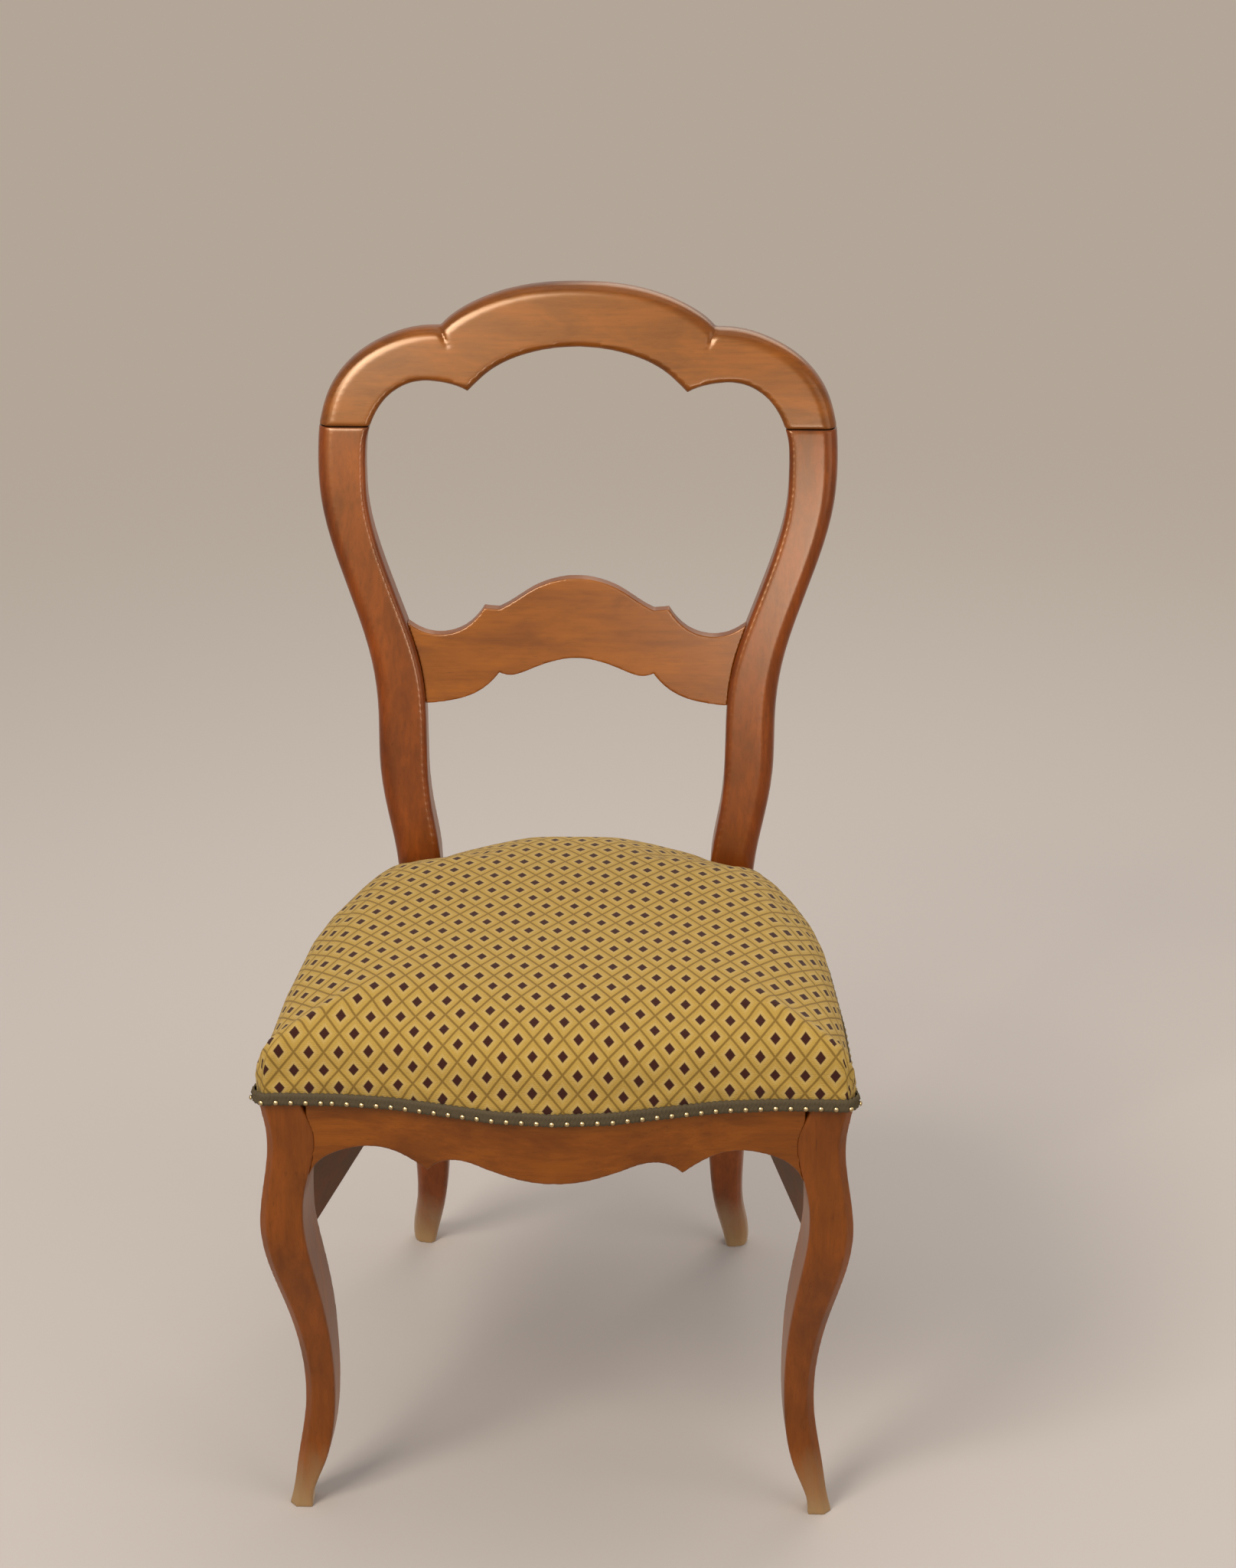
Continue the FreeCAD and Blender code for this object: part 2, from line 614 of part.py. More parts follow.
def nail_heads():
    """Six-sided nail heads along the lower edge of the braid, left out where the back posts stand."""
    ring = level_ring(COVER_LOW + NAIL_UP, -BRAID_THICK)
    points = ring.discretize(Distance=NAIL_PITCH)
    room = NAIL_RADIUS + 1.0
    heads = []
    for here, after in zip(points[:-1], points[1:]):
        if POST_IN - room < abs(here.x) < POST_OUT + room and here.y > back_y(here.z) - room:
            continue
        along = (after - here).normalize()
        outward = V(along.y, -along.x, 0)
        corners = []
        for k in range(6):
            turn = math.radians(60.0 * k)
            corners.append(here + outward * 0.05 + along * (NAIL_RADIUS * math.cos(turn))
                           + V(0, 0, NAIL_RADIUS * math.sin(turn)))
        heads.append(plank(corners, outward * NAIL_TALL))
    return heads


def web_path(crossings, start, end, sign):
    """Heights of a strap along its length, over and under the crossing straps."""
    rise = 0.5 * WEB_THICK + WEB_GAP
    ramp = 0.5 * WEB_WIDE + 2.0
    path = [(start, 0.0)]
    for index, crossing in enumerate(crossings):
        lift = rise * sign * (1 if index % 2 == 0 else -1)
        path.append((crossing - ramp, lift))
        path.append((crossing + ramp, lift))
    path.append((end, 0.0))
    return path


def strap(path, lengthwise, middle):
    """One webbing strap following its path, flat on the rails at both ends."""
    level = RAIL_TOP + 0.5 * WEB_THICK + 0.5 * WEB_GAP
    hold = WEB_HOLD
    flat = [(path[0][0] - hold, 0.0)] + path + [(path[-1][0] + hold, 0.0)]
    above = [(s, level + h + 0.5 * WEB_THICK) for s, h in flat]
    below = [(s, level + h - 0.5 * WEB_THICK) for s, h in reversed(flat)]
    edge = middle - 0.5 * WEB_WIDE
    if lengthwise:
        return plank([V(edge, s, z) for s, z in above + below], V(WEB_WIDE, 0, 0))
    return plank([V(s, edge, z) for s, z in above + below], V(0, WEB_WIDE, 0))


def webbing():
    """Interlaced straps: three from front to back and three from side to side."""
    rear_inner = REAR_RAIL_Y
    pitch_x = 68.0
    pitch_y = 88.0
    xs = [(i - 1) * pitch_x for i in range(WEB_COUNT)]
    ys = [-115.0 + i * pitch_y for i in range(WEB_COUNT)]
    straps = {}
    for i, x in enumerate(xs):
        front_inner = front_y(abs(x) + 0.5 * WEB_WIDE) + FRONT_RAIL_THICK
        sign = 1 if i % 2 == 0 else -1
        path = web_path(ys, front_inner + 2.0, rear_inner - 2.0, sign)
        straps["webbing_lengthwise_%d" % (i + 1)] = strap(path, True, x)
    for j, y in enumerate(ys):
        half = side_inner(y + 0.5 * WEB_WIDE) - 3.0
        sign = -1 if j % 2 == 0 else 1
        path = web_path(xs, -half, half, sign)
        straps["webbing_crosswise_%d" % (j + 1)] = strap(path, False, y)
    return straps


def build():
    """All pieces by name."""
    pieces = {}
    leg = front_leg(0.0)
    post = back_post(0.0)
    crest = crest_rail()
    dowels = [Part.makeCylinder(DOWEL_RADIUS, DOWEL_LONG, foot) for foot in dowel_places()]
    holes = [Part.makeCylinder(DOWEL_RADIUS + FIT, DOWEL_LONG + 2 * FIT, foot - V(0, 0, FIT)) for foot in dowel_places()]

    front_rail = front_rail_blank().cut([leg, mirrored(leg)])
    front_rail = biggest(front_rail).fuse([front_tenon(0.0), mirrored(front_tenon(0.0))])
    side_rail = biggest(side_rail_blank().cut([leg, post]))
    side_rail = side_rail.fuse([side_front_tenon(0.0), side_rear_tenon(0.0)])
    rear_rail = biggest(rear_rail_blank().cut([post, mirrored(post)]))
    rear_rail = rear_rail.fuse([rear_tenon(0.0), mirrored(rear_tenon(0.0))])
    splat = biggest(splat_blank().cut([post, mirrored(post)]))
    splat = splat.fuse([splat_tenon(0.0), mirrored(splat_tenon(0.0))])

    blocks = {}
    for place in BLOCKS:
        near = [front_rail, side_rail, rear_rail, leg, post]
        blocks[place] = biggest(block_blank(place).cut(near)).cut(screw(place, FIT))
    screw_holes = [screw(place, FIT) for place in BLOCKS]

    pieces["crest_rail"] = crest.cut(holes + [mirrored(hole) for hole in holes])
    pieces["back_splat"] = splat
    pieces["front_seat_rail"] = front_rail.cut(screw_holes + [mirrored(hole) for hole in screw_holes])
    pieces["rear_seat_rail"] = rear_rail.cut(screw_holes + [mirrored(hole) for hole in screw_holes])
    right = {
        "front_leg": leg.cut([front_tenon(FIT), side_front_tenon(FIT)] + screw_holes),
        "back_post": post.cut([splat_tenon(FIT), side_rear_tenon(FIT), rear_tenon(FIT)] + holes + screw_holes),
        "side_seat_rail": side_rail.cut(screw_holes),
        "corner_block_front": blocks["front"],
        "corner_block_rear": blocks["rear"],
    }
    for name, shape in right.items():
        pieces[name + "_right"] = shape
        pieces[name + "_left"] = mirrored(shape)
    screws = [screw(place, 0.0) for place in BLOCKS]
    pieces["corner_block_screws"] = Part.makeCompound(screws + [mirrored(piece) for piece in screws])
    pieces["crest_dowels"] = Part.makeCompound(dowels + [mirrored(dowel) for dowel in dowels])

    pieces.update(webbing())
    posts = [back_post(SOFT_GAP), mirrored(back_post(SOFT_GAP))]
    legs = [front_leg(LEG_GAP), mirrored(front_leg(LEG_GAP))]
    frame = posts + legs + [front_rail, rear_rail, side_rail, mirrored(side_rail)]
    inner = seat_form(COVER_THICK)
    web_top = RAIL_TOP + 2.5 * WEB_THICK + 4 * WEB_GAP
    slab = box_between(V(-300, -300, web_top + HESSIAN_THICK), V(300, 300, CROWN + 20))
    hessian = Part.Face(level_ring(web_top, 8.0)).extrude(V(0, 0, HESSIAN_THICK))
    pieces["hessian"] = biggest(hessian.cut(posts))
    pieces["stuffing_pad"] = biggest(inner.common(slab).cut(posts))
    pieces["seat_cover"] = biggest(seat_form(0.0).cut([inner] + frame))
    pieces["gimp_braid"] = Part.makeCompound(braid_band().cut(posts).Solids)
    pieces["trim_nails"] = Part.makeCompound(nail_heads())
    return pieces


def main():
    pieces = build()
    front_most = pieces["trim_nails"].BoundBox.YMin
    rear_most = pieces["crest_rail"].optimalBoundingBox().YMax
    shift = V(0, -0.5 * (front_most + rear_most), 0)
    print("origin moved by", round(shift.y, 3))
    for name, shape in pieces.items():
        shape.translate(shift)
        shape.exportStep("parts/" + name + ".step")
        print(name, len(shape.Solids), shape.isValid(), round(shape.Volume))


main()
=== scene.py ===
"""Balloon back chair with a stuffed and nailed seat: its finishes, its soft seat and a plain studio."""
import math

import bpy
from mathutils import Matrix, Vector


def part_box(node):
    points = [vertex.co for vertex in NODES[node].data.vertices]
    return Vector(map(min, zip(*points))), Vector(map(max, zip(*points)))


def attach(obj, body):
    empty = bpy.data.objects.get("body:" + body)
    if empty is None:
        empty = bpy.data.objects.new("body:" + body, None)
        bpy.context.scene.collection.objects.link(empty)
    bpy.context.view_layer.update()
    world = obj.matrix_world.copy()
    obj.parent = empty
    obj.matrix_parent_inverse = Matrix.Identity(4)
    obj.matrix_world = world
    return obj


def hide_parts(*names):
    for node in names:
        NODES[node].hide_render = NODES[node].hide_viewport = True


bl_info = {
    "name": "Balloon back chair",
    "version": (1, 0, 0),
    "blender": (4, 5, 0),
    "location": "View3D > Sidebar > Chair",
    "description": "Dresses the frame of a balloon back chair with wood, cloth, braid and nails",
    "category": "Object",
}

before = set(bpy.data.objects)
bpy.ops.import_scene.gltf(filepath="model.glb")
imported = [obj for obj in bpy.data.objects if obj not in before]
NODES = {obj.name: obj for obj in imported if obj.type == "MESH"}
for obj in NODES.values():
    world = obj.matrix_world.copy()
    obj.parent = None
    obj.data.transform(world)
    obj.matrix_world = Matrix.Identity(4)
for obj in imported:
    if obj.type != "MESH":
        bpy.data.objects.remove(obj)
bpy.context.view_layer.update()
SEAT_LOW, SEAT_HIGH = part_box("seat_cover")
BRAID_LOW, BRAID_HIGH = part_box("gimp_braid")
CREST_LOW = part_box("crest_rail")[0]
MM = 0.001

# Carved wood: grid of its skin, and rounds of sanding that ease its edges
FRAME_GRID, SPLAT_GRID = 1.5 * MM, 1.0 * MM
BACK_ROUNDS, LEG_ROUNDS, SPLAT_ROUNDS, RAIL_ROUNDS = 9, 4, 3, 2

# Seat cloth
CLOTH_GRID, CLOTH_THICK = 5 * MM, 2 * MM
HELD_TALL = 14 * MM             # lowest part of the cloth, that the nails hold tight
OPEN_TALL = 6 * MM              # the underside within this height is cut away
PUFF_FRAMES, PUFF_PRESSURE = 20, 4.0
SHOULDER_DROP, SHOULDER_ROUND = 13 * MM, 24 * MM
RIB_PITCH = 1.6 * MM

# Trim
NAIL_RADIUS, NAIL_TALL, NAIL_PITCH = 2.1 * MM, 1.5 * MM, 11.6 * MM
GIMP_STEP, GIMP_OVERRUN = 0.65 * MM, 9 * MM
LOOP_PITCH, LOOP_TALL = 4.6 * MM, 1.0 * MM
TWIST_PITCH, TWIST_DEEP = 3.2 * MM, 0.45 * MM

# Stage: a camera at the angle of the photograph, and lamps as name, place, size, power, shine only
CAMERA_PLACE = (0.121929, -2.675313, 1.638829)
CAMERA_PITCH, CAMERA_YAW, CAMERA_ROLL = (math.radians(a) for a in (22.269, -1.721, -0.114))
CAMERA_LENS, CAMERA_SENSOR = 81.10, 36.0
FLOOR_SIZE, PAPER_NEAR, PAPER_FAR = 60.0, 0.8, 3.0
LAMP_AIM = Vector((0.0, 0.0, 0.45))
LAMP_TINT = (1.0, 0.88, 0.72)
LAMPS = (
    ("key_lamp", (-1.7, -2.1, 2.9), 1.3, 66.0, False),
    ("polish_lamp", (-1.1, -2.7, 2.6), 1.5, 140.0, True),
    ("window_lamp", (0.42, -2.65, 1.2), 0.5, 14.0, True),
    ("fill_lamp", (2.4, -1.6, 1.8), 2.0, 19.0, False),
    ("back_lamp", (0.8, 2.4, 2.6), 2.0, 22.0, False),
    ("top_lamp", (0.2, 0.2, 3.2), 1.8, 8.0, False),
)


# Small tools

def colour(text):
    """Linear colour of an sRGB hex value."""
    parts = [int(text[i:i + 2], 16) / 255 for i in (1, 3, 5)]
    return tuple(c / 12.92 if c <= 0.04045 else ((c + 0.055) / 1.055) ** 2.4 for c in parts) + (1.0,)


def add_node(owner, kind, settings=None, links=None):
    """Adds a node to a material or world, sets its options and sockets, and links its inputs."""
    node = owner.node_tree.nodes.new(kind)
    for key, value in (settings or {}).items():
        if isinstance(key, str) and hasattr(node, key):
            setattr(node, key, value)
        else:
            node.inputs[key].default_value = value
    for key, source in (links or {}).items():
        owner.node_tree.links.new(source, node.inputs[key])
    return node


def new_material(name):
    """Node material without any nodes yet."""
    material = bpy.data.materials.new(name)
    material.use_nodes = True
    material.node_tree.nodes.clear()
    return material


def finish_material(material, settings, links):
    """Ends a material in one surface shader."""
    shader = add_node(material, "ShaderNodeBsdfPrincipled", settings, links)
    add_node(material, "ShaderNodeOutputMaterial", None, {"Surface": shader.outputs[0]})
    return material


def select_only(piece):
    """Selects one object and makes it active."""
    bpy.ops.object.select_all(action="DESELECT")
    piece.select_set(True)
    bpy.context.view_layer.objects.active = piece


def copy_of(node, name):
    """Merged copy of a CAD node's mesh as a new piece."""
    piece = bpy.data.objects.new(name, NODES[node].data.copy())
    bpy.context.scene.collection.objects.link(piece)
    select_only(piece)
    bpy.ops.mesh.customdata_custom_splitnormals_clear()
    bpy.ops.object.mode_set(mode="EDIT")
    bpy.ops.mesh.select_all(action="SELECT")
    bpy.ops.mesh.remove_doubles(threshold=0.02 * MM)
    bpy.ops.object.mode_set(mode="OBJECT")
    return piece


def delete_faces(piece, unwanted):
    """Deletes the faces that a test picks."""
    select_only(piece)
    bpy.ops.object.mode_set(mode="EDIT")
    bpy.ops.mesh.select_mode(type="FACE")
    bpy.ops.mesh.select_all(action="DESELECT")
    bpy.ops.object.mode_set(mode="OBJECT")
    for face in piece.data.polygons:
        face.select = unwanted(face)
    bpy.ops.object.mode_set(mode="EDIT")
    bpy.ops.mesh.delete(type="FACE")
    bpy.ops.object.mode_set(mode="OBJECT")


def apply_modifier(piece, kind, **settings):
    """Adds a modifier, sets it and applies it."""
    select_only(piece)
    bpy.ops.object.modifier_add(type=kind)
    modifier = piece.modifiers[-1]
    for key, value in settings.items():
        setattr(modifier, key, value)
    bpy.ops.object.modifier_apply(modifier=modifier.name)


def paint(piece, material):
    """Gives a piece one finish."""
    piece.data.materials.clear()
    piece.data.materials.append(material)


def dress(piece, material, slot, *replaced):
    """Gives a new piece its finish and its place on the chair."""
    paint(piece, material)
    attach(piece, "root")
    if replaced:
        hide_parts(*replaced)


# Sizes and colours that a user may change

class ChairLooks(bpy.types.PropertyGroup):
    """Colours of rails and cloth, and the sizes of the cloth's pattern"""
    rail_light: bpy.props.FloatVectorProperty(
        name="Light wood", description="Light tone of the front and rear seat rails",
        default=colour("#914e0c"), size=4, min=0.0, max=1.0, subtype="COLOR")
    rail_dark: bpy.props.FloatVectorProperty(
        name="Dark wood", description="Dark tone of the front and rear seat rails",
        default=colour("#612c06"), size=4, min=0.0, max=1.0, subtype="COLOR")
    cloth_gold: bpy.props.FloatVectorProperty(
        name="Cloth", description="Faded ground of the seat cloth",
        default=colour("#bb9949"), size=4, min=0.0, max=1.0, subtype="COLOR")
    cloth_dot: bpy.props.FloatVectorProperty(
        name="Dot", description="Dots of the seat cloth",
        default=colour("#3a1206"), size=4, min=0.0, max=1.0, subtype="COLOR")
    dot_across: bpy.props.FloatProperty(
        name="Pattern width", description="Width of one diamond of the cloth", default=0.0231, unit="LENGTH")
    dot_along: bpy.props.FloatProperty(
        name="Pattern height", description="Height of one diamond of the cloth", default=0.032, unit="LENGTH")
    dot_start: bpy.props.FloatVectorProperty(
        name="Pattern start", description="Where one dot of the cloth lies", default=(-0.0041, -0.0058),
        size=2, unit="LENGTH")
    swell: bpy.props.FloatProperty(
        name="Swell", description="Most that the stuffing pushes the cloth out", default=0.004, unit="LENGTH")


def looks():
    """The chair's settings."""
    return bpy.context.scene.chair_looks


# Wood

def polished_walnut(name, light, dark, grain, gloss=0.36, worn_feet=False, glue_line=False, plain=False):
    """Walnut, sawn and carved, with an old amber shellac: streaked grain under mottled figure."""
    material = new_material(name)
    place = add_node(material, "ShaderNodeTexCoord")
    fine_stretch = [0.06 if axis == grain else 1.0 for axis in "xyz"]
    broad_stretch = [0.3 if axis == grain else 1.0 for axis in "xyz"]
    along = add_node(material, "ShaderNodeMapping", {"Scale": fine_stretch},
                     {"Vector": place.outputs["Object"]})
    broad = add_node(material, "ShaderNodeMapping", {"Scale": broad_stretch},
                     {"Vector": place.outputs["Object"]})
    # Clouds of about 20 mm, streaks of about 3 mm and pores of under 1 mm
    mottle = add_node(material, "ShaderNodeTexNoise",
                      {"Scale": 46.0, "Detail": 5.0, "Roughness": 0.6, "Distortion": 0.4},
                      {"Vector": broad.outputs[0]})
    streaks = add_node(material, "ShaderNodeTexNoise", {"Scale": 330.0, "Detail": 4.0, "Roughness": 0.6},
                       {"Vector": along.outputs[0]})
    pores = add_node(material, "ShaderNodeTexNoise", {"Scale": 1300.0, "Detail": 2.0},
                     {"Vector": along.outputs[0]})
    cloud_part = add_node(material, "ShaderNodeMapRange", {"From Min": 0.25, "From Max": 0.68},
                          {"Value": mottle.outputs[0]})
    base = add_node(material, "ShaderNodeMix", {"data_type": "RGBA", 6: dark, 7: light},
                    {0: cloud_part.outputs[0]})
    streak_part = add_node(material, "ShaderNodeMapRange",
                           {"From Min": 0.45, "From Max": 0.75, "To Max": 0.5}, {"Value": streaks.outputs[0]})
    figured = add_node(material, "ShaderNodeMix", {"data_type": "RGBA", 7: dark},
                       {0: streak_part.outputs[0], 6: base.outputs[2]})
    pore_part = add_node(material, "ShaderNodeMapRange", {"From Min": 0.62, "From Max": 0.74, "To Max": 0.4},
                         {"Value": pores.outputs[0]})
    tone = add_node(material, "ShaderNodeMix", {"data_type": "RGBA", 7: colour("#2b150a")},
                    {0: pore_part.outputs[0], 6: figured.outputs[2]})
    height = add_node(material, "ShaderNodeSeparateXYZ", None, {0: place.outputs["Object"]})
    if worn_feet:
        # Polish worn off more and more below about 60 mm, ragged at its upper edge
        ragged = add_node(material, "ShaderNodeMath", {"operation": "MULTIPLY_ADD", 1: 50 * MM},
                          {0: mottle.outputs[0], 2: height.outputs["Z"]})
        worn = add_node(material, "ShaderNodeMapRange",
                        {"From Min": 85 * MM, "From Max": 30 * MM, "To Max": 0.8},
                        {"Value": ragged.outputs[0]})
        tone = add_node(material, "ShaderNodeMix", {"data_type": "RGBA", 7: colour("#a88d66")},
                        {0: worn.outputs[0], 6: tone.outputs[2]})
    if glue_line:
        # Dark glue in the joint between crest and posts
        off = add_node(material, "ShaderNodeMath", {"operation": "SUBTRACT", 1: CREST_LOW.z},
                       {0: height.outputs["Z"]})
        near = add_node(material, "ShaderNodeMath", {"operation": "COMPARE", 1: 0.0, 2: 0.6 * MM},
                        {0: off.outputs[0]})
        tone = add_node(material, "ShaderNodeMix", {"data_type": "RGBA", 7: colour("#1a0c06")},
                        {0: near.outputs[0], 6: tone.outputs[2]})
    rough = add_node(material, "ShaderNodeMapRange", {"To Min": gloss - 0.05, "To Max": gloss + 0.12},
                     {"Value": mottle.outputs[0]})
    relief = add_node(material, "ShaderNodeBump", {"Strength": 0.1, "Distance": 0.3 * MM},
                      {"Height": streaks.outputs[0]})
    coat = 0.0 if plain else 0.5
    return finish_material(material,
                           {"Coat Weight": coat, "Coat Roughness": 0.2, "Specular Tint": colour("#ffc078")},
                           {"Base Color": tone.outputs[2], "Roughness": rough.outputs[0],
                            "Normal": relief.outputs[0]})


def softened(node, name, grid, rounds):
    """Copy of a carved node with its edges eased as by hand sanding."""
    piece = copy_of(node, name)
    piece.data.remesh_voxel_size = grid
    bpy.ops.object.voxel_remesh()
    apply_modifier(piece, "SMOOTH", factor=0.5, iterations=rounds)
    bpy.ops.object.shade_smooth()
    return piece


class CarvedFrame(bpy.types.Operator):
    """Crest, posts, legs, splat and rails in their woods, the side rails' walnut darkened in part as painted
    shade
    """
    bl_idname = "chair.carved_frame"
    bl_label = "Carved frame"

    def execute(self, context):
        crest = polished_walnut("crest_walnut", colour("#914f12"), colour("#5c2e0a"), "x", gloss=0.3,
                                glue_line=True)
        post = polished_walnut("post_walnut", colour("#8b3f08"), colour("#552003"), "z", gloss=0.3,
                               glue_line=True, worn_feet=True)
        leg = polished_walnut("leg_walnut", colour("#8c470f"), colour("#622e07"), "z", gloss=0.45,
                              worn_feet=True)
        splat = polished_walnut("splat_walnut", colour("#99530a"), colour("#662d04"), "x")
        rail = polished_walnut("rail_walnut", looks().rail_light, looks().rail_dark, "x", gloss=0.45)
        # Side rails: walnut tones darker than the other rails', in part painted shade of their shaded inner
        # faces; no polish coat
        shaded_side_rail = polished_walnut("side_rail_walnut_painted_shade", colour("#6e3810"), colour("#40200a"), "y", gloss=0.5,
                                    plain=True)
        dress(softened("crest_rail", "crest_rail_carved", FRAME_GRID, BACK_ROUNDS), crest, "walnut",
              "crest_rail")
        for side in ("left", "right"):
            dress(softened("back_post_" + side, "back_post_carved_" + side, FRAME_GRID, BACK_ROUNDS), post,
                  "walnut", "back_post_" + side)
            dress(softened("front_leg_" + side, "front_leg_carved_" + side, FRAME_GRID, LEG_ROUNDS), leg,
                  "walnut", "front_leg_" + side)
            # Side rails take the walnut whose darker tones are in part painted shade
            paint(NODES["side_seat_rail_" + side], shaded_side_rail)
        dress(softened("back_splat", "back_splat_carved", SPLAT_GRID, SPLAT_ROUNDS), splat, "walnut",
              "back_splat")
        dress(softened("front_seat_rail", "front_seat_rail_carved", FRAME_GRID, RAIL_ROUNDS), rail, "walnut",
              "front_seat_rail")
        paint(NODES["rear_seat_rail"], rail)
        return {"FINISHED"}


def simple_finish(name, tone, rough, metallic=0.0, grit=400.0):
    """Plain finish with a fine mottle."""
    material = new_material(name)
    place = add_node(material, "ShaderNodeTexCoord")
    mottle = add_node(material, "ShaderNodeTexNoise", {"Scale": grit, "Detail": 4.0},
                      {"Vector": place.outputs["Object"]})
    shade = add_node(material, "ShaderNodeMapRange", {"To Min": 0.1, "To Max": 0.5},
                     {"Value": mottle.outputs[0]})
    base = add_node(material, "ShaderNodeMix", {"data_type": "RGBA", 6: colour(tone), 7: colour("#3a2a1a")},
                    {0: shade.outputs[0]})
    relief = add_node(material, "ShaderNodeBump", {"Strength": 0.3, "Distance": 0.3 * MM},
                      {"Height": mottle.outputs[0]})
    return finish_material(material, {"Roughness": rough, "Metallic": metallic},
                           {"Base Color": base.outputs[2], "Normal": relief.outputs[0]})


def plain_weave(name, tone, thread):
    """Jute cloth in plain weave, threads at a real spacing."""
    material = new_material(name)
    place = add_node(material, "ShaderNodeTexCoord")
    turns = math.pi / thread
    parts = add_node(material, "ShaderNodeSeparateXYZ", None, {0: place.outputs["Object"]})
    waves = []
    for axis in ("X", "Y"):
        scaled = add_node(material, "ShaderNodeMath", {"operation": "MULTIPLY", 1: turns},
                          {0: parts.outputs[axis]})
        waves.append(add_node(material, "ShaderNodeMath", {"operation": "SINE"}, {0: scaled.outputs[0]}))
    cross = add_node(material, "ShaderNodeMath", {"operation": "MULTIPLY"},
                     {0: waves[0].outputs[0], 1: waves[1].outputs[0]})
    shade = add_node(material, "ShaderNodeMapRange", {"From Min": -1.0, "To Max": 0.6},
                     {"Value": cross.outputs[0]})
    base = add_node(material, "ShaderNodeMix", {"data_type": "RGBA", 6: colour(tone), 7: colour("#4a3720")},
                    {0: shade.outputs[0]})
    relief = add_node(material, "ShaderNodeBump", {"Strength": 0.5, "Distance": 0.4 * MM},
                      {"Height": cross.outputs[0]})
    return finish_material(material, {"Roughness": 0.9},
                           {"Base Color": base.outputs[2], "Normal": relief.outputs[0]})


class SeatUnderside(bpy.types.Operator):
    """Webbing, hessian, corner blocks, screws and dowels"""
    bl_idname = "chair.seat_underside"
    bl_label = "Seat underside"

    def execute(self, context):
        beech = colour("#a67c4d"), colour("#7c5730")
        finishes = {
            "webbing": plain_weave("jute_webbing", "#b09266", 2.0 * MM),
            "hessian": plain_weave("hessian_cloth", "#a98a5c", 1.2 * MM),
            "corner_block_screws": simple_finish("zinced_screw_steel", "#8d8a84", 0.4, metallic=1.0),
            "corner_block": polished_walnut("glue_block_beech", *beech, "x", gloss=0.6, plain=True),
            "crest_dowels": polished_walnut("dowel_beech", *beech, "z", gloss=0.6, plain=True),
        }
        for node, piece in NODES.items():
            for start, material in finishes.items():
                if node.startswith(start):
                    paint(piece, material)
                    break
        return {"FINISHED"}


# Seat

